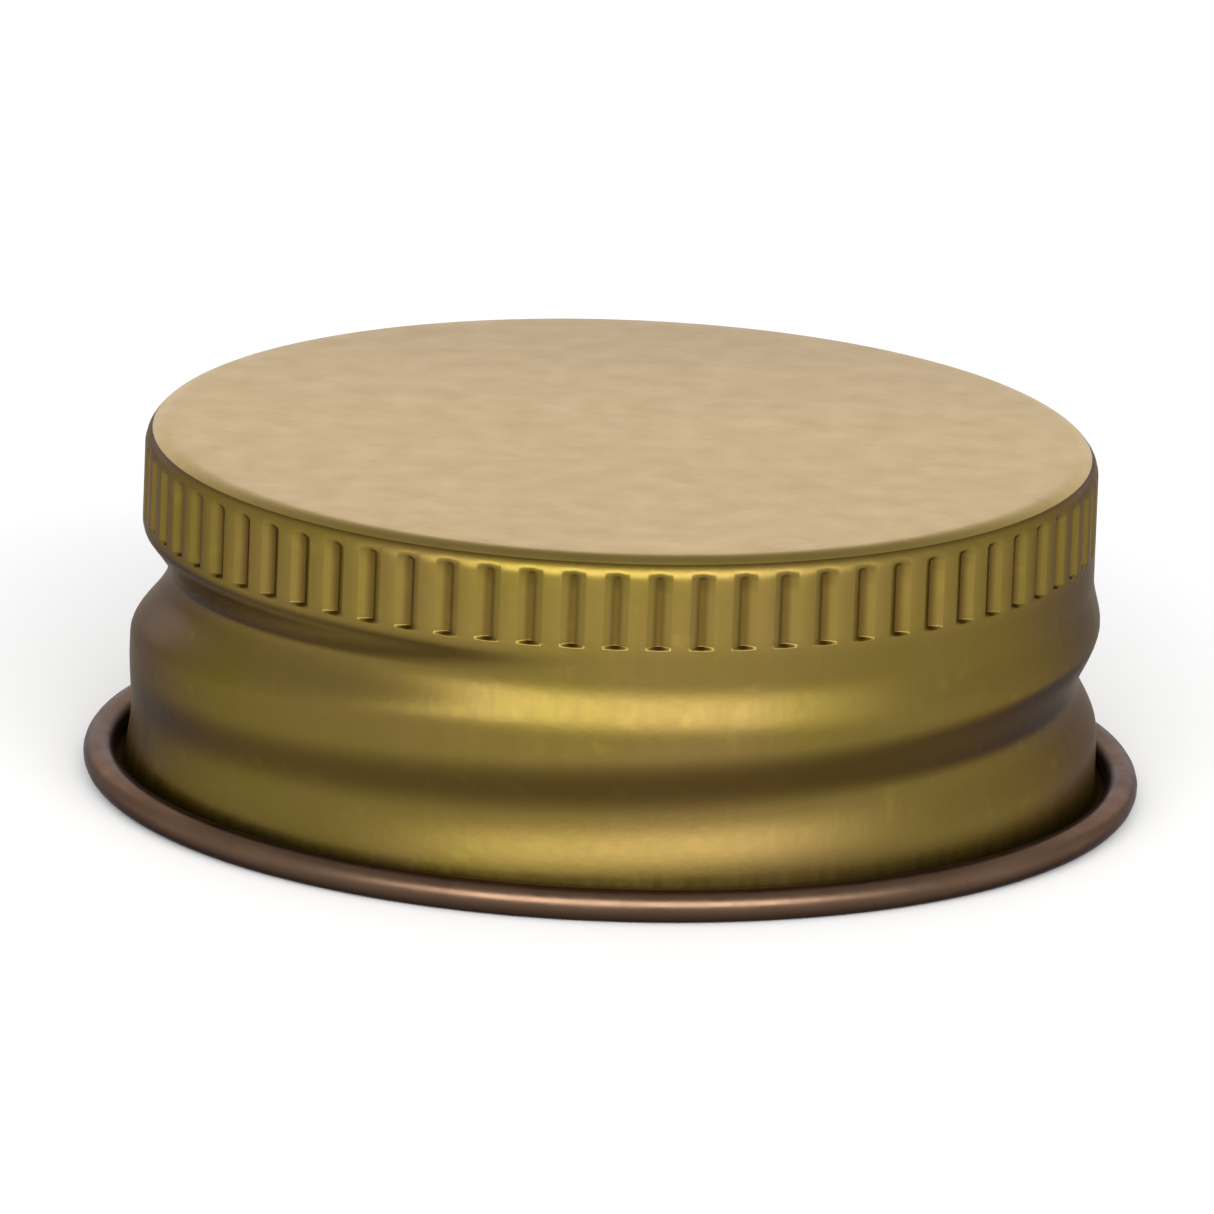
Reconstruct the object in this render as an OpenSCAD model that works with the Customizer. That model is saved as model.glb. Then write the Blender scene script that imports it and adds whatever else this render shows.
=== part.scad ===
// Rolled-thread metal screw cap with its sealing liner.
//
// Millimetres. The axis is Z and the open mouth faces down, so the cap stands on its curl at z = 0.
// One sheet makes the panel, the knurled skirt, the rolled thread and the curl round the mouth.

/* [Sheet] */
// Thickness of the drawn sheet
sheet_t = 0.25; // [0.18:0.01:0.3]
// Overall height, from the foot of the curl to the outside of the panel
cap_h = 10.85; // [10.4:0.05:14]
// Outside radius of the corner between the panel and the skirt
corner_r = 0.7; // [0.6:0.05:1.3]

/* [Skirt] */
// Outside radius of the skirt at the knurl
knurl_r = 14.38; // [12:0.02:20]
// How much wider the skirt is at the mouth than at the knurl
skirt_flare = 0.27; // [0:0.01:0.5]
// Plain wall between the knurl and the widening
flare_drop = 1.15; // [0:0.05:1.5]
// Height over which the skirt widens
flare_run = 2; // [1:0.1:5]
// Straight wall that is left plain above the foot of the skirt
mouth_straight = 0.15; // [0.15:0.05:0.9]

/* [Knurl] */
// Number of grooves in the knurl
knurl_count = 70; // [36:1:80]
// Drop from the panel to the top of the grooves
knurl_drop = 0.1; // [0.1:0.05:0.9]
// Length of a groove
knurl_len = 2.3; // [1.8:0.05:2.4]
// Depth of a groove
knurl_depth = 0.2; // [0.12:0.01:0.24]
// Width of a groove where it leaves the skirt's surface
knurl_w = 0.8; // [0.7:0.02:0.96]
// Width of a groove's floor
knurl_floor_w = 0.3; // [0.2:0.02:0.4]
// Length of the slope at a groove's upper end
knurl_fade = 0.15; // [0.1:0.05:0.2]
// Length of the slope in which a groove runs out downward
knurl_tail = 0.2; // [0.1:0.05:0.6]
// Direction of one groove, counted from +X towards +Y
knurl_start = -90; // [-180:5:180]

/* [Rolled thread] */
// Rise of the thread in one turn
thread_pitch = 4.233; // [3.8:0.001:4.6]
// Number of turns, from end to end of the groove
thread_turns = 1.36; // [1:0.01:1.5]
// Depth of the rolled groove, at the upper end of its run
thread_depth = 1.12; // [0.8:0.02:1.2]
// Depth toward which the groove grows shallower, at the lower end of its run
thread_end_depth = 0.25; // [0.2:0.05:0.8]
// Share of that depth that is kept below the groove's own upper end
thread_tail = 0.58; // [0.4:0.02:1]
// From the groove's floor up to its upper shoulder
thread_rise = 1.95; // [1.4:0.05:2]
// From the groove's floor down to its lower shoulder
thread_fall = 2; // [1.4:0.05:2.1]
// Drop from the panel to the middle of the groove's upper end
thread_drop = 3.78; // [3:0.01:4]
// Direction of the upper end, counted from +X towards +Y
thread_start = -90; // [-180:5:180]
// Angle over which the upper end grows to full depth and width
thread_lead_in = 90; // [90:5:180]
// Angle over which the lower end fades out
thread_lead_out = 70; // [60:5:180]
// Share of its full width that the groove starts with
thread_tip = 0.7; // [0.3:0.05:1]

/* [Curl] */
// Thickness of the curled bead
curl_d = 1; // [0.8:0.05:1.4]
// Gap between the skirt and the bead
curl_gap = 0.3; // [0.2:0.05:0.6]
// Inside radius of the bend at the foot of the skirt
foot_bend_r = 0.3; // [0.2:0.05:0.4]

/* [Liner] */
// Thickness of the sealing disc
liner_t = 0.9; // [0.6:0.05:1.2]
// Radial clearance between the liner and the marks of the knurl
liner_clear = 0.05; // [0.03:0.01:0.2]

/* [Hidden] */
$fn = 96;

knurl_top_z = cap_h - knurl_drop;
knurl_foot_z = knurl_top_z - knurl_len;
// A mark's plan is carried this far below its floor.
knurl_sink = 0.04;
// Run of a groove's flanks and ends for each millimetre of depth
knurl_flank = (knurl_w - knurl_floor_w) / 2 / knurl_depth;
knurl_top_run = knurl_fade / knurl_depth;
knurl_tail_run = knurl_tail / knurl_depth;
// A bump's flanks stand off its groove's flanks by the sheet's thickness.
bump_grow = sheet_t * norm([1, knurl_flank]);

mouth_r = knurl_r + skirt_flare;

// The thread is rolled into the wall between these two heights.
thread_land = 0.1;
wall_top_z = knurl_foot_z - thread_land;
wall_foot_z = foot_bend_r + sheet_t + mouth_straight;
thread_top_z = cap_h - thread_drop;
thread_run = 360 * thread_turns;
// Angles of the run between which the groove thins to its tail
thin_from = 270;
thin_to = 345;
// Height over which the groove fades out at the top of the wall
run_out = 0.6;

// The threaded wall is a mesh of this many columns and rows. Its ends are tongues that are a little
// thinner than the sheet, and lie inside the turned parts above and below.
wall_columns = 96;
wall_rows = 21;
tongue = 0.15;
tongue_inset = 0.02;

curl_centre_r = mouth_r + curl_gap + curl_d / 2;
liner_r = knurl_r - knurl_depth - sheet_t - liner_clear;
// Round of the liner's edge, which follows the inside of the shell's corner
liner_edge_r = corner_r - knurl_depth - sheet_t - liner_clear / 2;

// A cut is carried past the face that it opens by this much.
past = 0.2;
// The plan of the knurl marks is carried past the skirt by less, so that they don't meet.
wedge_past = 0.1;

// 0 at 0 and 1 at 1, level at both ends
function ramp(x) =
    let (u = min(1, max(0, x)))
    u * u * (3 - 2 * u);

// Radius of the skirt's outside before the thread is rolled
function plain_r(z) =
    knurl_r + skirt_flare * ramp((wall_top_z - flare_drop - z) / flare_run);

// Angle run from the groove's upper end to direction a, on the groove's first turn
function first_run(a) =
    let (d = thread_start - a)
    d - 360 * floor(d / 360);

// Depth of the groove at height z, after it has run through an angle
function groove_depth(z, run) =
    let (
        centre_z = thread_top_z - thread_pitch * run / 360,
        growth = ramp(run / thread_lead_in),
        width = thread_tip + (1 - thread_tip) * growth,
        above = width * thread_rise,
        below = max(sheet_t, min(width * thread_fall, centre_z - wall_foot_z)),
        across = min(1, abs(z - centre_z) / (z > centre_z ? above : below)),
        section = pow(cos(90 * across), 2),
        depth = thread_depth + (thread_end_depth - thread_depth) * run / thread_run,
        kept = 1 - (1 - thread_tail) * ramp((run - thin_from) / (thin_to - thin_from))
    )
    depth * section * growth * kept * ramp((thread_run - run) / thread_lead_out);

// Outside radius of the threaded wall at height z in direction a
function wall_r(z, a) =
    let (
        run = first_run(a),
        depth = max(groove_depth(z, run), groove_depth(z, run + 360))
    )
    plain_r(z) - depth * ramp((wall_top_z - z) / run_out);

// Slope of that outside, as change of radius over change of height
function wall_slope(z, a) =
    let (step = 0.02)
    (wall_r(z + step, a) - wall_r(z - step, a)) / (2 * step);

function row_z(j) =
    j < 0 ? wall_foot_z - tongue
    : j > wall_rows ? wall_top_z + tongue
    : wall_foot_z + (wall_top_z - wall_foot_z) * j / wall_rows;

function is_joint(j) = j <= 0 || j >= wall_rows;

// Radius and height of a point of the outside, and of the inside point opposite to it
function outside_point(j, a) =
    let (z = row_z(j))
    is_joint(j) ? [(j <= 0 ? mouth_r : knurl_r) - tongue_inset, z]
    : [wall_r(z, a), z];

function inside_point(j, a) =
    let (
        z = row_z(j),
        slope = wall_slope(z, a),
        lean = sqrt(1 + slope * slope)
    )
    is_joint(j) ? [(j <= 0 ? mouth_r : knurl_r) - sheet_t + tongue_inset, z]
    : [wall_r(z, a) - sheet_t / lean, z + sheet_t * slope / lean];

function turned(p, a) = [p[0] * cos(a), p[0] * sin(a), p[1]];

// Ring of wall with the groove rolled into it, so that it bulges inward as the thread
module threaded_wall() {
    rows = [-1 : wall_rows + 1];
    columns = [0 : wall_columns - 1];
    row_count = wall_rows + 3;
    side = row_count * wall_columns;

    outside = [for (j = rows, i = columns) let (a = 360 * i / wall_columns) turned(outside_point(j, a), a)];
    inside = [for (j = rows, i = columns) let (a = 360 * i / wall_columns) turned(inside_point(j, a), a)];

    function at(face, j, i) = face * side + j * wall_columns + i % wall_columns;

    polyhedron(
        points = concat(outside, inside),
        faces = [
            for (j = [0 : row_count - 2], i = columns)
                each [
                    [at(0, j, i), at(0, j + 1, i), at(0, j + 1, i + 1)],
                    [at(0, j, i), at(0, j + 1, i + 1), at(0, j, i + 1)],
                    [at(1, j, i), at(1, j + 1, i + 1), at(1, j + 1, i)],
                    [at(1, j, i), at(1, j, i + 1), at(1, j + 1, i + 1)]
                ],
            for (i = columns)
                each [
                    [at(0, 0, i), at(0, 0, i + 1), at(1, 0, i + 1)],
                    [at(0, 0, i), at(1, 0, i + 1), at(1, 0, i)],
                    [at(0, row_count - 1, i), at(1, row_count - 1, i + 1), at(0, row_count - 1, i + 1)],
                    [at(0, row_count - 1, i), at(1, row_count - 1, i), at(1, row_count - 1, i + 1)]
                ]
        ],
        convexity = 6
    );
}

// Half section of the crown, from the axis to a skin that lies inset from the outside
module crown_profile(inset, foot_z) {
    r = knurl_r - inset;
    h = cap_h - inset;
    round_r = corner_r - inset;
    translate([0, foot_z])
        square([r - round_r, h - foot_z]);
    translate([0, foot_z])
        square([r, h - round_r - foot_z]);
    translate([r - round_r, h - round_r])
        circle(round_r);
}

// Extra length that an end of this run gets when it is covered by metal of a thickness
function cover_run(run, cover) = cover * (norm([1, run]) - run);

// Half section of one knurl mark: its floor at radius r, and sloping ends that rise over reach
module knurl_profile(r, reach, cover) {
    low = knurl_foot_z + knurl_tail - cover_run(knurl_tail_run, cover);
    high = knurl_top_z - knurl_fade + cover_run(knurl_top_run, cover);
    polygon([
        [r, low],
        [r + reach, low - knurl_tail_run * reach],
        [r + reach, high + knurl_top_run * reach],
        [r, high]
    ]);
}

// Plan of the knurl marks: one wedge each, from radius r outward, with flanks moved out by grow
module knurl_wedges(r, grow) {
    floor_r = knurl_r - knurl_depth;
    half_in = knurl_floor_w / 2 - knurl_flank * (floor_r - r) + grow;
    half_out = knurl_w / 2 + knurl_flank * wedge_past + grow;
    out_r = knurl_r + wedge_past;
    for (i = [0 : knurl_count - 1])
        rotate(knurl_start + 360 * i / knurl_count)
            polygon([[r, -half_in], [out_r, -half_out], [out_r, half_out], [r, half_in]]);
}

// The knurl's grooves, as solids to cut from the outside
module knurl_grooves() {
    floor_r = knurl_r - knurl_depth;
    intersection() {
        rotate_extrude()
            knurl_profile(floor_r, knurl_depth + past, 0);
        linear_extrude(cap_h + past)
            knurl_wedges(floor_r - knurl_sink, 0);
    }
}

// The bumps that the grooves raise inside
module knurl_bumps() {
    bump_r = knurl_r - knurl_depth - sheet_t;
    intersection() {
        rotate_extrude()
            intersection() {
                knurl_profile(bump_r, knurl_depth + sheet_t, sheet_t);
                crown_profile(sheet_t / 2, wall_top_z);
            }
        linear_extrude(cap_h + past)
            knurl_wedges(bump_r - knurl_sink, bump_grow);
    }
}

// Half section of the straight mouth, the bend at its foot and the bead curled outward
module foot_profile() {
    bend_r = foot_bend_r + sheet_t;
    translate([mouth_r - sheet_t, bend_r])
        square([sheet_t, wall_foot_z - bend_r]);
    translate([mouth_r + foot_bend_r, bend_r])
        intersection() {
            difference() {
                circle(bend_r);
                circle(foot_bend_r);
            }
            translate([-bend_r, -bend_r])
                square(bend_r);
        }
    translate([mouth_r + foot_bend_r, 0])
        square([curl_centre_r - mouth_r - foot_bend_r, sheet_t]);
    translate([curl_centre_r, curl_d / 2])
        difference() {
            circle(curl_d / 2);
            circle(curl_d / 2 - sheet_t);
            translate([-curl_d, -curl_d])
                square(curl_d);
        }
}

// The drawn, knurled, rolled and curled sheet
module cap_shell() {
    color("goldenrod") {
        difference() {
            union() {
                rotate_extrude()
                    difference() {
                        crown_profile(0, wall_top_z);
                        crown_profile(sheet_t, wall_top_z - past);
                    }
                knurl_bumps();
            }
            knurl_grooves();
        }
        threaded_wall();
        rotate_extrude()
            foot_profile();
    }
}

// The sealing disc, pressed flat against the inside of the panel
module liner() {
    color("whitesmoke")
        translate([0, 0, cap_h - sheet_t - liner_t])
            rotate_extrude() {
                square([liner_r, liner_t - liner_edge_r]);
                square([liner_r - liner_edge_r, liner_t]);
                translate([liner_r - liner_edge_r, liner_t - liner_edge_r])
                    circle(liner_edge_r);
            }
}

cap_shell();
liner();
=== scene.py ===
"""Rolled-thread metal screw cap with its sealing liner, dressed for the look of the real one.

The cap's sheet is built as one skin. It runs from the middle of the panel over the knurl and the rolled
thread down to the cut edge of the curl, and back along the inside at the sheet's thickness. Lengths are in
metres.
"""

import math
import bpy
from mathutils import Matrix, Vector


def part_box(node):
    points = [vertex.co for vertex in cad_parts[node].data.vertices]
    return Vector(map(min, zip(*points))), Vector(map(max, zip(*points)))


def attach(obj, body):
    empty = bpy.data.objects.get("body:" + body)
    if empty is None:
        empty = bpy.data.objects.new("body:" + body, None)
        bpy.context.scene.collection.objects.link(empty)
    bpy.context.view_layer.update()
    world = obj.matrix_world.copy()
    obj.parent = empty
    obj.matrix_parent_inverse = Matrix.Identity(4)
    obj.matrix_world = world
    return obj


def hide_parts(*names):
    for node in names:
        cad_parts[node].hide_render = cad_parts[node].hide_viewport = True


bl_info = {
    "name": "Rolled-thread Screw Cap",
    "version": (1, 0, 0),
    "blender": (4, 5, 0),
    "location": "3D View > Sidebar > Screw Cap",
    "description": "Builds a lacquered metal screw cap, its liner and a plain studio",
    "category": "Add Mesh",
}

import bmesh
import bpy
from bpy.props import FloatProperty, FloatVectorProperty, IntProperty, PointerProperty
from mathutils import Matrix, Vector

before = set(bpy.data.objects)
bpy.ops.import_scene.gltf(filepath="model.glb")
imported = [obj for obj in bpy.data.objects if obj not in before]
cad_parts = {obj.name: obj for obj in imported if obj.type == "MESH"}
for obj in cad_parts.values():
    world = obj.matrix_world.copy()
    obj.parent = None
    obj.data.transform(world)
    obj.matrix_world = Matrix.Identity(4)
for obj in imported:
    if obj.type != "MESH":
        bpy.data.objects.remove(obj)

MM = 0.001
_, SHELL_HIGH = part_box("cap_shell")
LINER_LOW, LINER_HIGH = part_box("liner")
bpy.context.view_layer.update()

# Plain land below the knurl, and the height below it over which the rolled groove reaches its depth
KNURL_LAND, GROOVE_FADE = 0.1 * MM, 0.6 * MM
# Angles of its run between which the groove thins to its tail
THIN_FROM, THIN_TO = math.radians(270), math.radians(345)
# How far the flanks of a bump stand off on the inside, as a share of the sheet
STAND_OFF = 0.45

# Steps of the mesh on either face of the sheet: round the corner, down the knurl and down the wall. The
# edges are the places of the rows beside each end of a groove's lower slope, in row edges.
OUTER_STEPS = {"corner": 12, "knurl": 5, "wall": 46, "edges": (4, 1, -1, -4)}
INNER_STEPS = {"corner": 5, "knurl": 3, "wall": 24, "edges": (1, -1)}
FOOT_STEPS, CURL_STEPS = 4, 14
# Rings over the flat panel, as shares of its radius
PANEL_SHARES = (0.3, 0.6, 0.85, 0.97)
# Distance from a bend to the row or column of points that keeps its shading crisp
ROW_EDGE, COLUMN_EDGE = 0.006 * MM, 0.02 * MM
# The liner's rings over its flat faces, as shares of its radius, its columns and the steps of its rounds
LINER_SHARES = (0.4, 0.8, 0.95)
LINER_COLUMNS, FILM_STEPS, ROUND_STEPS = 144, 4, 6

# Places of the coats among the sheet's materials, and of the two layers among the liner's
GOLD, PANEL, INNER, BARE = range(4)
BOARD, FILM = range(2)
# Share of the corner's height that the panel's coat leaves to the skirt's
PANEL_REACH = 0.7
# Tint of the reflection at grazing angles, and roughness, of each coat
GOLD_EDGE, GOLD_ROUGHNESS = (0.2, 0.16, 0.08), 0.4
PANEL_EDGE, PANEL_ROUGHNESS = (0.97, 0.89, 0.89), 0.42
INNER_EDGE, INNER_ROUGHNESS = (0.4, 0.42, 0.45), 0.33
# Weight and roughness of the clear film on the gold lacquer
GLOSS_WEIGHT, GLOSS_ROUGHNESS = 0.2, 0.3

# The gold lacquer's shades are factors on its colour. These two are those of its patches.
OLIVE, AMBER = (0.95, 1.0, 0.65), (1.05, 1.0, 1.3)
# Range of the upward part of the surface's normal that is carried to 0 and 1, and the shades over it. They
# are painted shade, which darkens the surface where it looks down, as in the hollows.
NORMAL_RANGE = (-0.5, 0.5)
PAINTED_HOLLOW_SHADES = ((0, (0.83, 0.83, 0.83)), (0.28, (0.43, 0.36, 0.15)), (0.5, (1, 1, 1)))
# Painted shade on the knurl's floors and painted highlight on its ridges, and the depths below the ridges
# between which they change
KNURL_FLOOR_SHADE, KNURL_RIDGE_HIGHLIGHT = (0.72, 0.64, 0.45), (1.2, 1.2, 1.2)
KNURL_SHADE_DEPTHS = (0.19 * MM, 0.1 * MM)
# Heights between which the painted shade of the hollows gives way to that of the knurl
KNURL_ZONE = (7.7 * MM, 8.3 * MM)
# Noise levels between which the lacquer gets rubbed thin, from not at all to a quarter, and what that bares
RUBBED, RUBBED_SHADE = (0.8, 1, 0, 0.25), 1.5

# Shades of the panel at its front and back, painted light at the front and painted shade at the back, and
# of its patches and grime
PANEL_FRONT_LIGHT, PANEL_BACK_SHADE = 1.03, 0.75
PANEL_PATCHES = (0.98, 0.98, 0.98), (1.02, 1.02, 1.02)
PANEL_GRIME = 0.75
# Shades of the inner coat's patches, specks and painted foot shade, and the heights between which it clears
INNER_PATCHES, INNER_SPECKS, INNER_FOOT_SHADE = (0.9, 1.1), 0.6, 0.45
FOOT_SHADE_HEIGHTS = (0.25 * MM, 0.6 * MM)
# Levels of raw noise that are carried to 0 and 1
NOISE_RANGE = (0.3, 0.7)

# The floor lies a hair below the cap, so that no two faces share a place
FLOOR_RADIUS, FLOOR_SEGMENTS, FLOOR_DROP = 0.9, 96, 0.01 * MM
FLOOR_ROUGHNESS = 0.9
# Room light: (sine of the height above the horizon, radiance). The ceiling is dim.
ROOM_LEVELS = ((0, 0.9), (0.6, 0.9), (0.75, 0.55), (1, 0.5))
# Lamps: name, direction from the front towards the right, direction above the horizon, distance, width,
# height, radiance. Directions are in degrees.
LAMPS = (
    ("front_softbox", 3, 23, 0.6, 0.94, 0.33, 4.7),
    ("wide_softbox", 5, 23, 0.64, 1.9, 0.36, 2.0),
    ("back_softbox", 180, 20, 0.7, 1.1, 0.4, 1.45),
)
SENSOR_WIDTH, CLIP_NEAR, CLIP_FAR = 36, 0.01, 10


# Sizes and finishes


def length_of(name, description, millimetres):
    """A length that is written in millimetres."""
    return FloatProperty(
        name=name, description=description, default=millimetres * MM, min=0, unit="LENGTH", precision=5
    )


def angle_of(name, description, degrees):
    """An angle that is written in degrees."""
    return FloatProperty(
        name=name, description=description, default=math.radians(degrees), subtype="ANGLE", unit="ROTATION"
    )


def share_of(name, description, share, least):
    """A share of a whole, which it can't pass."""
    return FloatProperty(name=name, description=description, default=share, min=least, max=1)


def colour_of(name, description, colour):
    """A colour in linear red, green and blue."""
    return FloatVectorProperty(
        name=name, description=description, default=colour, size=3, min=0, max=1, subtype="COLOR"
    )


class CapSizes(bpy.types.PropertyGroup):
    """Sizes of the formed sheet and the liner"""

    sheet: length_of("Sheet", "Thickness of the drawn sheet", 0.25)
    corner: length_of("Corner", "Outside radius between the panel and the skirt", 0.7)
    knurl_radius: length_of("Knurl radius", "Outside radius of the skirt at the knurl", 14.38)
    flare: length_of("Flare", "How much wider the skirt is at the mouth", 0.27)
    flare_drop: length_of("Flare drop", "Plain wall between the knurl and the widening", 1.0)
    flare_run: length_of("Flare height", "Height over which the skirt widens", 1.55)
    mouth_straight: length_of("Mouth", "Plain wall above the foot of the skirt", 0.15)
    knurl_drop: length_of("Knurl drop", "Drop from the panel to the top of the grooves", 0.5)
    knurl_length: length_of("Knurl length", "Length of a groove", 2.3)
    knurl_depth: length_of("Knurl depth", "Depth of a groove", 0.2)
    knurl_width: length_of("Groove width", "Width of a groove at the surface", 0.74)
    knurl_floor: length_of("Groove floor", "Width of a groove's floor", 0.15)
    knurl_fade: length_of("Groove fade", "Length of the slope at a groove's upper end", 0.15)
    knurl_tail: length_of("Groove tail", "Length of the slope in which a groove runs out downward", 0.08)
    knurl_count: IntProperty(name="Grooves", description="Number of the knurl's grooves", default=70, min=3)
    pitch: length_of("Pitch", "Rise of the thread in one turn", 4.233)
    thread_depth: length_of("Thread depth", "Depth of the rolled groove", 1.12)
    thread_rise: length_of("Groove above", "From the groove's floor up to its upper shoulder", 1.95)
    thread_fall: length_of("Groove below", "From the groove's floor down to its lower shoulder", 1.8)
    thread_end_depth: length_of("Depth at the end", "Depth toward which the groove grows shallower", 0.25)
    thread_drop: length_of("Thread drop", "Drop from the panel to the groove's upper end", 3.78)
    curl: length_of("Curl", "Thickness of the curled bead", 1.0)
    curl_gap: length_of("Curl gap", "Gap between the skirt and the bead", 0.3)
    foot_bend: length_of("Foot bend", "Inside radius of the bend at the foot of the skirt", 0.3)
    film: length_of("Film thickness", "Thickness of the film that faces the liner's board", 0.06)
    board_round: length_of("Board round", "Round of the board's upper edge", 0.225)
    thread_tip: share_of("Thread tip", "Share of its full width that the groove starts with", 0.7, 0.2)
    turns: FloatProperty(name="Turns", description="Turns of the thread", default=1.36, min=1, max=1.9)
    thread_start: angle_of("Thread start", "Direction of the groove's upper end, from +X towards +Y", -90)
    lead_in: angle_of("Lead-in", "Angle over which the upper end grows to full depth", 90)
    thread_tail: share_of("Thread tail", "Share of the depth kept below the groove's upper end", 0.5, 0.4)
    lead_out: angle_of("Lead-out", "Angle over which the lower end fades out", 70)


class CapFinish(bpy.types.PropertyGroup):
    """Colours of the coated sheet and the liner"""

    gold: colour_of("Gold lacquer", "Colour of the skirt's lacquer", (0.146, 0.1, 0.019))
    # The panel's colour is a lighter copy of the gold's: painted light on the top face
    panel: colour_of("Panel lacquer", "Colour of the panel's matter coat", (0.25, 0.18, 0.048))
    inner: colour_of("Inner coat", "Colour of the coat inside and over the curl", (0.135, 0.082, 0.052))
    board: colour_of("Board", "Colour of the liner's board", (0.62, 0.55, 0.44))
    bare: colour_of("Bare edge", "Colour of the tinned steel where the sheet is cut", (0.48, 0.46, 0.43))
    film: colour_of("Film", "Colour of the liner's sealing film", (0.8, 0.8, 0.78))


class StudioSettings(bpy.types.PropertyGroup):
    """Camera, floor and lamps"""

    floor: colour_of("Floor", "Colour of the floor", (0.88, 0.88, 0.88))
    distance: FloatProperty(
        name="Distance", description="From the camera to the cap", default=0.8, min=0.1, unit="LENGTH"
    )
    elevation: angle_of("Elevation", "Height of the view above the horizon", 15.2)
    roll: angle_of("Roll", "How far the picture is turned, clockwise", 2.15)
    aim: FloatVectorProperty(
        name="Aim",
        description="Point at which the camera looks",
        default=(-0.28 * MM, 0, 5.45 * MM),
        size=3,
        subtype="TRANSLATION",
        unit="LENGTH",
    )
    lens: FloatProperty(
        name="Lens", description="Focal length", default=785.5, min=1, subtype="DISTANCE_CAMERA"
    )


# Form of the sheet


def ramp(x):
    """0 at 0 and 1 at 1, level at both ends."""
    u = min(1.0, max(0.0, x))
    return u * u * (3 - 2 * u)


def arc(centre_r, centre_z, radius, start, end, steps, side=1):
    """Rows round an arc between two angles in degrees. Side is -1 where the face looks to its centre."""
    rows = []
    for k in range(steps + 1):
        a = math.radians(start + (end - start) * k / steps)
        ca, sa = math.cos(a), math.sin(a)
        rows.append(("turned", centre_r + radius * ca, centre_z + radius * sa, side * ca, side * sa))
    return rows


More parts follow.
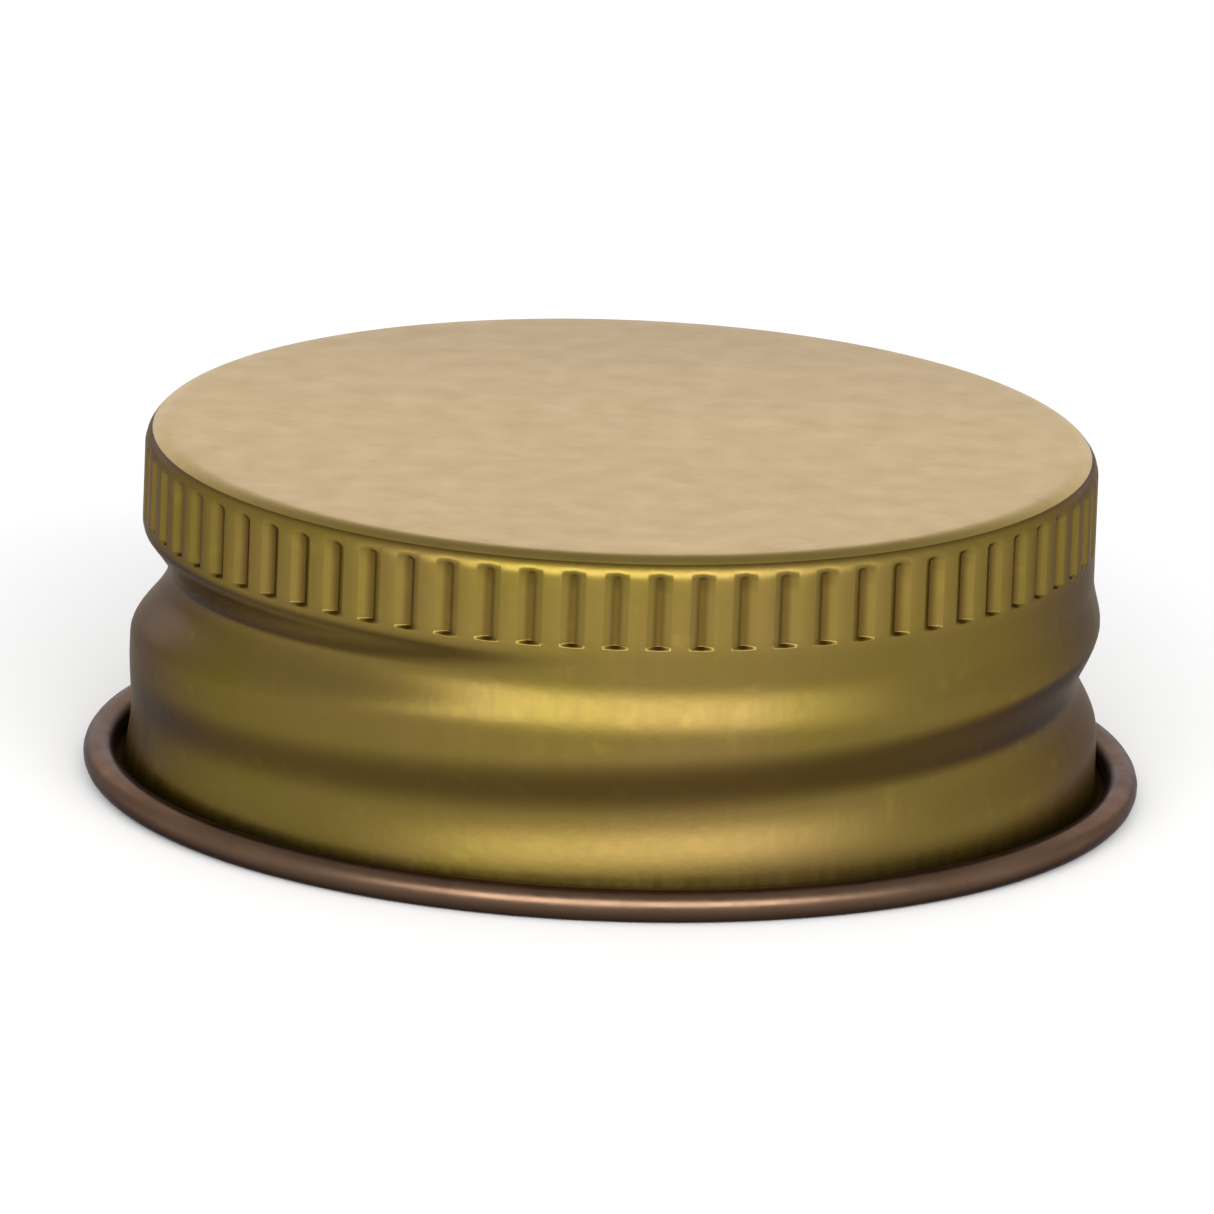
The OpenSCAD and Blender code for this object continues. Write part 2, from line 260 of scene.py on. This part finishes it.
class SheetForm:
    """The face of the sheet that is outside at the panel, from the panel to the cut edge of the curl."""

    def __init__(self, sizes):
        s = self.sizes = sizes
        self.height = SHELL_HIGH.z
        self.mouth_radius = s.knurl_radius + s.flare
        self.knurl_top = self.height - s.knurl_drop
        self.knurl_foot = self.knurl_top - s.knurl_length
        self.wall_top = self.knurl_foot - KNURL_LAND
        self.wall_foot = s.foot_bend + s.sheet + s.mouth_straight
        self.thread_top = self.height - s.thread_drop
        self.thread_run = math.tau * s.turns
        self.curl_radius = self.mouth_radius + s.curl_gap + s.curl / 2

    def plain_radius(self, z):
        """Radius of the skirt at height z without its thread."""
        s = self.sizes
        return s.knurl_radius + s.flare * ramp((self.wall_top - s.flare_drop - z) / s.flare_run)

    def groove(self, z, run):
        """Depth of the rolled groove at height z, after it has run through an angle."""
        s = self.sizes
        centre = self.thread_top - s.pitch * run / math.tau
        share = ramp(run / s.lead_in) * ramp((self.thread_run - run) / s.lead_out)
        growth = s.thread_tip + (1 - s.thread_tip) * ramp(run / s.lead_in)
        if z > centre:
            across = (z - centre) / (growth * s.thread_rise)
        else:
            across = (centre - z) / max(s.sheet, min(growth * s.thread_fall, centre - self.wall_foot))
        section = math.cos(math.pi / 2 * min(1.0, across)) ** 2
        depth = s.thread_depth + (s.thread_end_depth - s.thread_depth) * run / self.thread_run
        kept = 1 - (1 - s.thread_tail) * ramp((run - THIN_FROM) / (THIN_TO - THIN_FROM))
        return depth * section * share * kept

    def wall_radius(self, z, angle):
        """Radius of the skirt at height z in one direction, with its thread."""
        if not self.wall_foot < z < self.wall_top:
            return self.plain_radius(z)
        run = (self.sizes.thread_start - angle) % math.tau
        depth = max(self.groove(z, run), self.groove(z, run + math.tau))
        fade = ramp((self.wall_top - z) / GROOVE_FADE)
        return self.plain_radius(z) - depth * fade

    def wall_normal(self, z, angle):
        """The normal's parts outward and upward, from the slope over a short step."""
        step = 0.01 * MM
        slope = (self.wall_radius(z + step, angle) - self.wall_radius(z - step, angle)) / (2 * step)
        lean = math.hypot(1, slope)
        return 1 / lean, -slope / lean

    def knurl(self, r, z, angle, inside):
        """How far a groove of the knurl presses the sheet in where its face has radius r."""
        s = self.sizes
        grow = s.sheet * STAND_OFF if inside else 0.0
        face = s.knurl_radius - s.sheet if inside else s.knurl_radius
        room = min(s.knurl_depth, r - (face - s.knurl_depth))
        pitch = math.tau / s.knurl_count
        off = abs((angle + math.pi / 2 + pitch / 2) % pitch - pitch / 2) * s.knurl_radius
        half_floor, half_top = s.knurl_floor / 2 + grow, s.knurl_width / 2 + grow
        section = min(1.0, max(0.0, (half_top - off) / (half_top - half_floor)))
        tail = min(1.0, max(0.0, (z - self.knurl_foot) / s.knurl_tail))
        rise = min(1.0, max(0.0, (self.knurl_top - z) / s.knurl_fade))
        return max(0.0, min(room, s.knurl_depth * section * tail * rise))

    def rows(self, steps):
        """Rows of points down the face: kind, radius, height, and the normal's parts outward and upward."""
        s = self.sizes
        corner_r, corner_z = s.knurl_radius - s.corner, self.height - s.corner
        slope_top = self.knurl_foot + s.knurl_tail
        found = [("turned", corner_r * share, self.height, 0, 1) for share in PANEL_SHARES]
        found += arc(corner_r, corner_z, s.corner, 90, 0, steps["corner"])
        count = steps["knurl"]
        heights = [corner_z + (slope_top - corner_z) * k / count for k in range(1, count)]
        heights += [z + edge * ROW_EDGE for z in (slope_top, self.knurl_foot) for edge in steps["edges"]]
        found += [("turned", s.knurl_radius, z, 1, 0) for z in heights]
        count = steps["wall"]
        drops = [(self.wall_foot - self.wall_top) * k / count for k in range(count + 1)]
        found += [("wall", 0, self.wall_top + drop, 1, 0) for drop in drops]
        bend_r, bend_z = self.mouth_radius + s.foot_bend, s.foot_bend + s.sheet
        found += arc(bend_r, bend_z, s.foot_bend, 180, 270, FOOT_STEPS, side=-1)
        found += arc(self.curl_radius, s.curl / 2, s.curl / 2 - s.sheet, -90, 180, CURL_STEPS, side=-1)
        return found

    def point(self, row, angle, inside):
        """Point of a row in one direction, on the face or on the inside at the sheet's thickness."""
        kind, r, z, nr, nz = row
        if kind == "wall":
            r = self.wall_radius(z, angle)
            nr, nz = self.wall_normal(z, angle)
        if inside:
            r, z = r - nr * self.sizes.sheet, z - nz * self.sizes.sheet
        r -= self.knurl(r, z, angle, inside)
        return Vector((r * math.cos(angle), r * math.sin(angle), z))

    def columns(self):
        """Directions of the mesh's columns, paired closely at the edges of each groove's flanks."""
        s = self.sizes
        pitch = math.tau / s.knurl_count
        halves = (s.knurl_floor / 2, s.knurl_width / 2)
        places = [half + side for half in halves for side in (-COLUMN_EDGE, COLUMN_EDGE)]
        offsets = [-p for p in reversed(places)] + places
        offsets = [p / s.knurl_radius for p in offsets] + [pitch / 2]
        return [pitch * k + off - math.pi / 2 for k in range(s.knurl_count) for off in offsets]


# Mesh helpers


def new_piece(name, mesh):
    """A visible piece that rides on the cap's one body."""
    piece = bpy.data.objects.new(name, mesh)
    bpy.context.scene.collection.objects.link(piece)
    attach(piece, "root")
    return piece


def lofted_mesh(name, rings, first_tip, last_tip):
    """A closed skin through rings of points, with a fan of triangles to a single point at either end."""
    count = len(rings[0])
    points = [first_tip] + [p for ring in rings for p in ring] + [last_tip]
    starts = [1 + j * count for j in range(len(rings))]
    around = [(i, (i + 1) % count) for i in range(count)]
    first, last = starts[0], starts[-1]
    faces = []
    for i, n in around:
        faces.append((0, first + i, first + n))
        faces.append((len(points) - 1, last + n, last + i))
    for low, high in zip(starts, starts[1:]):
        faces += [(low + i, high + i, high + n, low + n) for i, n in around]
    mesh = bpy.data.meshes.new(name)
    mesh.from_pydata(points, [], faces)
    mesh.shade_smooth()
    mesh.update()
    return mesh


def face_ring(polygon, count):
    """Number of the first ring that a face of a lofted mesh touches, from -1 at the first tip."""
    return min((v - 1) // count for v in polygon.vertices)


# Materials


class Finish:
    """A new material with its shader, and patterns that follow the object's own coordinates."""

    def __init__(self, name, metallic, edge=(1, 1, 1)):
        """Edge is the tint of the reflection at grazing angles."""
        self.material = bpy.data.materials.new(name)
        self.material.use_nodes = True
        tree = self.material.node_tree
        self.nodes, self.links = tree.nodes, tree.links
        self.shader = self.nodes["Principled BSDF"]
        self.shader.inputs["Metallic"].default_value = metallic
        self.shader.inputs["Specular Tint"].default_value = (*edge, 1)
        self.place = self.nodes.new("ShaderNodeTexCoord").outputs["Object"]

    def split(self, vector, axis):
        """One part of a vector."""
        parts = self.nodes.new("ShaderNodeSeparateXYZ")
        self.links.new(vector, parts.inputs[0])
        return parts.outputs[axis]

    def level(self, value, from_min, from_max, to_min=0.0, to_max=1.0):
        """The value carried from one range to another, and held there."""
        node = self.nodes.new("ShaderNodeMapRange")
        numbers = (from_min, from_max, to_min, to_max)
        for socket, number in zip(("From Min", "From Max", "To Min", "To Max"), numbers):
            node.inputs[socket].default_value = number
        self.links.new(value, node.inputs["Value"])
        return node.outputs[0]

    def noise(self, cell, detail=2.0, stretch=(1, 1, 1)):
        """Noise from 0 to 1 with cells of one size. A stretch below 1 draws them out along that axis."""
        scale = self.nodes.new("ShaderNodeMapping")
        scale.inputs["Scale"].default_value = stretch
        self.links.new(self.place, scale.inputs["Vector"])
        node = self.nodes.new("ShaderNodeTexNoise")
        node.inputs["Scale"].default_value = 1 / cell
        node.inputs["Detail"].default_value = detail
        self.links.new(scale.outputs[0], node.inputs["Vector"])
        return self.level(node.outputs[0], *NOISE_RANGE)

    def mix(self, share, first, second):
        """One colour or the other. Each is a colour's value or another node's output."""
        node = self.nodes.new("ShaderNodeMix")
        node.data_type = "RGBA"
        if share:
            self.links.new(share, node.inputs[0])
        for socket, colour in ((6, first), (7, second)):
            if isinstance(colour, bpy.types.NodeSocket):
                self.links.new(colour, node.inputs[socket])
            else:
                node.inputs[socket].default_value = (*colour, 1)
        return node.outputs[2]

    def times(self, first, second):
        """Two nodes' colours multiplied."""
        output = self.mix(None, first, second)
        output.node.blend_type = "MULTIPLY"
        output.node.inputs[0].default_value = 1
        return output

    def axis_distance(self):
        """Distance from the cap's axis."""
        flat, length = [self.nodes.new("ShaderNodeVectorMath") for _ in range(2)]
        flat.operation, length.operation = "MULTIPLY", "LENGTH"
        flat.inputs[1].default_value = (1, 1, 0)
        self.links.new(self.place, flat.inputs[0])
        self.links.new(flat.outputs[0], length.inputs[0])
        return length.outputs["Value"]

    def tones(self, value, stops):
        """A soft run of colours, from (position, colour) stops."""
        node = self.nodes.new("ShaderNodeValToRGB")
        node.color_ramp.interpolation = "EASE"
        elements = node.color_ramp.elements
        elements[0].position, elements[1].position = stops[0][0], stops[-1][0]
        for position, _ in stops[1:-1]:
            elements.new(position)
        for element, (_, colour) in zip(elements, stops):
            element.color = (*colour, 1)
        self.links.new(value, node.inputs[0])
        return node.outputs[0]

    def colour(self, output):
        """The colour that the surface shows."""
        self.links.new(output, self.shader.inputs["Base Color"])

    def roughness(self, output, middle, spread):
        """Roughness that varies by the spread to either side of the middle."""
        varied = self.level(output, 0, 1, middle - spread, middle + spread)
        self.links.new(varied, self.shader.inputs["Roughness"])

    def bumps(self, *layers):
        """Fine relief, from (pattern, height) layers."""
        normal = None
        for pattern, height in layers:
            node = self.nodes.new("ShaderNodeBump")
            node.inputs["Distance"].default_value = height
            self.links.new(pattern, node.inputs["Height"])
            if normal:
                self.links.new(normal, node.inputs["Normal"])
            normal = node.outputs[0]
        self.links.new(normal, self.shader.inputs["Normal"])


def shade(colour, share):
    """The colour made darker or lighter, as a share of itself."""
    return [part * share for part in colour]


def tint(colour, factors):
    """The colour with each of its parts multiplied."""
    return [part * factor for part, factor in zip(colour, factors)]


def gold_lacquer(colour, knurl_radius):
    finish = Finish("gold_lacquer", metallic=1, edge=GOLD_EDGE)
    finish.shader.inputs["Coat Weight"].default_value = GLOSS_WEIGHT
    finish.shader.inputs["Coat Roughness"].default_value = GLOSS_ROUGHNESS
    lively = finish.mix(finish.noise(cell=5 * MM), tint(colour, OLIVE), tint(colour, AMBER))
    # Painted shade: the colour darkens where the surface's normal looks down
    normal = finish.nodes.new("ShaderNodeNewGeometry").outputs["Normal"]
    painted_hollow_shade = finish.tones(finish.level(finish.split(normal, "Z"), *NORMAL_RANGE), PAINTED_HOLLOW_SHADES)
    # Painted shade in the knurl's floors and painted highlight on its ridges, by distance from the axis
    deep, shallow = (knurl_radius - depth for depth in KNURL_SHADE_DEPTHS)
    ridges = finish.level(finish.axis_distance(), from_min=deep, from_max=shallow)
    grooves = finish.mix(ridges, KNURL_FLOOR_SHADE, KNURL_RIDGE_HIGHLIGHT)
    height = finish.split(finish.place, "Z")
    painted_shades = finish.mix(finish.level(height, *KNURL_ZONE), painted_hollow_shade, grooves)
    rubbed = finish.level(finish.noise(cell=0.8 * MM, detail=4), *RUBBED)
    worn = finish.mix(rubbed, lively, shade(colour, RUBBED_SHADE))
    finish.colour(finish.times(worn, painted_shades))
    streaks = finish.noise(cell=0.3 * MM, stretch=(1, 1, 0.06))
    grain = finish.noise(cell=0.35 * MM, detail=3)
    finish.roughness(streaks, middle=GOLD_ROUGHNESS, spread=0.03)
    finish.bumps((streaks, 0.0015 * MM), (grain, 0.0025 * MM))
    return finish.material


def panel_lacquer(colour):
    finish = Finish("panel_lacquer", metallic=1, edge=PANEL_EDGE)
    # Painted light: the panel is lighter at the front and darker at the back
    ahead = finish.level(finish.split(finish.place, "Y"), from_min=-SHELL_HIGH.y, from_max=SHELL_HIGH.y)
    front, back = shade(colour, PANEL_FRONT_LIGHT), shade(colour, PANEL_BACK_SHADE)
    painted_shade_tones = finish.tones(ahead, ((0, front), (0.5, colour), (1, back)))
    patches = finish.mix(finish.noise(cell=4 * MM, detail=3), *PANEL_PATCHES)
    grime = finish.level(finish.noise(cell=0.9 * MM, detail=5), from_min=0.75, from_max=1, to_max=0.2)
    finish.colour(finish.mix(grime, finish.times(painted_shade_tones, patches), shade(colour, PANEL_GRIME)))
    finish.roughness(finish.noise(cell=1.2 * MM, detail=4), middle=PANEL_ROUGHNESS, spread=0.025)
    grain, waves = finish.noise(cell=0.25 * MM, detail=3), finish.noise(cell=6 * MM)
    finish.bumps((grain, 0.0025 * MM), (waves, 0.01 * MM))
    return finish.material


def inner_coat(colour):
    finish = Finish("inner_coat", metallic=1, edge=INNER_EDGE)
    dark, light = (shade(colour, share) for share in INNER_PATCHES)
    patches = finish.mix(finish.noise(cell=3 * MM, detail=3), dark, light)
    # Painted shade: the inner coat darkens towards its foot, by the floor
    foot = finish.level(finish.split(finish.place, "Z"), *FOOT_SHADE_HEIGHTS)
    painted_shade_tones = finish.mix(foot, shade(colour, INNER_FOOT_SHADE), patches)
    specks = finish.level(finish.noise(cell=0.6 * MM, detail=5), from_min=0.8, from_max=1, to_max=0.3)
    finish.colour(finish.mix(specks, painted_shade_tones, shade(colour, INNER_SPECKS)))
    finish.roughness(finish.noise(cell=0.8 * MM, detail=3), middle=INNER_ROUGHNESS, spread=0.05)
    finish.bumps((finish.noise(cell=0.3 * MM, detail=3), 0.002 * MM))
    return finish.material


def bare_edge(colour):
    finish = Finish("bare_edge", metallic=1)
    finish.colour(finish.mix(finish.noise(cell=0.3 * MM, detail=4), shade(colour, share=0.75), colour))
    finish.roughness(finish.noise(cell=0.2 * MM), middle=0.38, spread=0.08)
    finish.bumps((finish.noise(cell=0.08 * MM), 0.002 * MM))
    return finish.material


def liner_board(colour):
    finish = Finish("liner_board", metallic=0)
    finish.colour(finish.mix(finish.noise(cell=0.4 * MM, detail=5), shade(colour, share=0.82), colour))
    finish.roughness(finish.noise(cell=0.5 * MM), middle=0.88, spread=0.05)
    finish.bumps((finish.noise(cell=0.12 * MM, detail=4, stretch=(1, 1, 3)), 0.02 * MM))
    return finish.material


def liner_film(colour):
    finish = Finish("liner_film", metallic=0)
    finish.colour(finish.mix(finish.noise(cell=5 * MM, detail=3), shade(colour, share=0.94), colour))
    finish.roughness(finish.noise(cell=2 * MM, detail=3), middle=0.36, spread=0.05)
    finish.bumps((finish.noise(cell=1.5 * MM, detail=3), 0.01 * MM))
    return finish.material


def floor_paint(colour):
    finish = Finish("floor", metallic=0)
    finish.shader.inputs["Specular IOR Level"].default_value = 0
    finish.shader.inputs["Base Color"].default_value = (*colour, 1)
    finish.shader.inputs["Roughness"].default_value = FLOOR_ROUGHNESS
    return finish.material


# Operators


class CAP_OT_shell(bpy.types.Operator):
    """Build the drawn, knurled, rolled and curled sheet"""

    bl_idname = "screw_cap.shell"
    bl_label = "Cap shell"

    def execute(self, context):
        sizes, finish = context.scene.cap_sizes, context.scene.cap_finish
        form = SheetForm(sizes)
        angles = form.columns()
        outer_rows = form.rows(OUTER_STEPS)
        outside = [[form.point(row, a, False) for a in angles] for row in outer_rows]
        inside = [[form.point(row, a, True) for a in angles] for row in form.rows(INNER_STEPS)]
        top = Vector((0, 0, form.height))
        mesh = lofted_mesh("shell", outside + inside[::-1], top, top - Vector((0, 0, sizes.sheet)))
        shell = new_piece("formed_shell", mesh)
        coats = {
            GOLD: gold_lacquer(finish.gold, sizes.knurl_radius),
            PANEL: panel_lacquer(finish.panel),
            INNER: inner_coat(finish.inner),
            BARE: bare_edge(finish.bare),
        }
        for place in sorted(coats):
            mesh.materials.append(coats[place])
        panel_foot = form.height - sizes.corner * (1 - PANEL_REACH)
        panel_rings = sum(height > panel_foot for _, _, height, _, _ in outer_rows)
        last_ring = len(outside) - 1
        for polygon in mesh.polygons:
            ring = face_ring(polygon, len(angles))
            if ring == last_ring:
                polygon.material_index = BARE
            elif ring > last_ring:
                polygon.material_index = INNER
            elif ring < panel_rings - 1:
                polygon.material_index = PANEL
        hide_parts("cap_shell")
        return {"FINISHED"}


class CAP_OT_liner(bpy.types.Operator):
    """Build the sealing disc: a board faced with film"""

    bl_idname = "screw_cap.liner"
    bl_label = "Liner"

    def execute(self, context):
        sizes, finish = context.scene.cap_sizes, context.scene.cap_finish
        radius, low, high = LINER_HIGH.x, LINER_LOW.z, LINER_HIGH.z
        film_top, nick, bend = low + sizes.film, sizes.film / 2, sizes.board_round
        profile = [(radius * share, low) for share in LINER_SHARES]
        for k in range(FILM_STEPS + 1):
            a = math.pi / 2 * k / FILM_STEPS
            profile.append((radius - nick + nick * math.sin(a), low + nick - nick * math.cos(a)))
        film_rings = len(profile) + 1
        profile += [(radius, film_top), (radius - nick, film_top)]
        profile += [(radius - nick, film_top + nick), (radius, film_top + 2 * nick)]
        for k in range(ROUND_STEPS + 1):
            a = math.pi / 2 * k / ROUND_STEPS
            profile.append((radius - bend + bend * math.cos(a), high - bend + bend * math.sin(a)))
        profile += [(radius * share, high) for share in reversed(LINER_SHARES)]
        angles = [math.tau * k / LINER_COLUMNS for k in range(LINER_COLUMNS)]
        rings = [[Vector((r * math.cos(a), r * math.sin(a), z)) for a in angles] for r, z in profile]
        mesh = lofted_mesh("liner_disc", rings[::-1], Vector((0, 0, high)), Vector((0, 0, low)))
        disc = new_piece("sealing_disc", mesh)
        layers = {BOARD: liner_board(finish.board), FILM: liner_film(finish.film)}
        for place in sorted(layers):
            mesh.materials.append(layers[place])
        for polygon in mesh.polygons:
            if face_ring(polygon, LINER_COLUMNS) >= len(rings) - film_rings:
                polygon.material_index = FILM
        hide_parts("liner")
        return {"FINISHED"}


class CAP_OT_stage(bpy.types.Operator):
    """Set out the floor, the lamps and the camera"""

    bl_idname = "screw_cap.stage"
    bl_label = "Stage"

    def execute(self, context):
        scene, studio = context.scene, context.scene.cap_studio
        mesh = bpy.data.meshes.new("floor")
        shape = bmesh.new()
        bmesh.ops.create_circle(shape, cap_ends=True, radius=FLOOR_RADIUS, segments=FLOOR_SEGMENTS)
        shape.to_mesh(mesh)
        shape.free()
        mesh.materials.append(floor_paint(studio.floor))
        floor = bpy.data.objects.new("floor", mesh)
        floor.location.z = -FLOOR_DROP
        scene.collection.objects.link(floor)
        self.light_room(scene)
        for lamp in LAMPS:
            self.softbox(scene, *lamp)
        self.set_camera(scene, studio)
        scene.view_settings.view_transform = "Standard"
        return {"FINISHED"}

    def light_room(self, scene):
        """A pale room with a dim ceiling."""
        world = bpy.data.worlds.new("studio")
        scene.world = world
        world.use_nodes = True
        nodes, links = world.node_tree.nodes, world.node_tree.links
        place = nodes.new("ShaderNodeTexCoord")
        split = nodes.new("ShaderNodeSeparateXYZ")
        fall = nodes.new("ShaderNodeValToRGB")
        links.new(place.outputs["Generated"], split.inputs[0])
        links.new(split.outputs["Z"], fall.inputs[0])
        links.new(fall.outputs[0], nodes["Background"].inputs["Color"])
        elements = fall.color_ramp.elements
        elements[0].position, elements[1].position = ROOM_LEVELS[0][0], ROOM_LEVELS[-1][0]
        for position, _ in ROOM_LEVELS[1:-1]:
            elements.new(position)
        for element, (_, level) in zip(elements, ROOM_LEVELS):
            element.color = (level, level, level, 1)

    def softbox(self, scene, name, azimuth, elevation, distance, width, height, radiance):
        """An area lamp that faces the cap and shows in it at the given radiance."""
        a, e = math.radians(azimuth), math.radians(elevation)
        lamp = bpy.data.lights.new(name, "AREA")
        lamp.shape = "RECTANGLE"
        lamp.size, lamp.size_y = width, height
        lamp.energy = radiance * math.pi * width * height
        lamp_object = bpy.data.objects.new(name, lamp)
        scene.collection.objects.link(lamp_object)
        toward = Vector((math.sin(a) * math.cos(e), -math.cos(a) * math.cos(e), math.sin(e)))
        lamp_object.location = toward * distance
        lamp_object.rotation_euler = toward.to_track_quat("Z", "Y").to_euler()
        lamp_object.visible_camera = False

    def set_camera(self, scene, studio):
        camera = bpy.data.cameras.new("camera")
        camera.lens = studio.lens
        camera.sensor_width = SENSOR_WIDTH
        camera.clip_start, camera.clip_end = CLIP_NEAR, CLIP_FAR
        camera_object = bpy.data.objects.new("camera", camera)
        scene.collection.objects.link(camera_object)
        toward = Vector((0, -math.cos(studio.elevation), math.sin(studio.elevation)))
        camera_object.location = Vector(studio.aim) + toward * studio.distance
        level = toward.to_track_quat("Z", "Y").to_matrix().to_4x4()
        camera_object.rotation_euler = (level @ Matrix.Rotation(studio.roll, 4, "Z")).to_euler()
        scene.camera = camera_object


class CAP_PT_panel(bpy.types.Panel):
    """Sizes, finishes and steps of the cap"""

    bl_label = "Screw Cap"
    bl_idname = "CAP_PT_panel"
    bl_space_type = "VIEW_3D"
    bl_region_type = "UI"
    bl_category = "Screw Cap"

    def draw(self, context):
        layout = self.layout
        for group in (context.scene.cap_sizes, context.scene.cap_finish, context.scene.cap_studio):
            box = layout.box()
            for name in group.__annotations__:
                box.prop(group, name)
        for operator in STEPS:
            layout.operator(operator.bl_idname)


STEPS = (CAP_OT_shell, CAP_OT_liner, CAP_OT_stage)
GROUPS = {"cap_sizes": CapSizes, "cap_finish": CapFinish, "cap_studio": StudioSettings}


def register():
    for cls in (*GROUPS.values(), *STEPS, CAP_PT_panel):
        bpy.utils.register_class(cls)
    for name, group in GROUPS.items():
        setattr(bpy.types.Scene, name, PointerProperty(type=group))


def unregister():
    for name in GROUPS:
        delattr(bpy.types.Scene, name)
    for cls in (CAP_PT_panel, *reversed(STEPS), *GROUPS.values()):
        bpy.utils.unregister_class(cls)


def main():
    register()
    bpy.ops.screw_cap.shell()
    bpy.ops.screw_cap.liner()
    bpy.ops.screw_cap.stage()


if __name__ == "__main__":
    main()
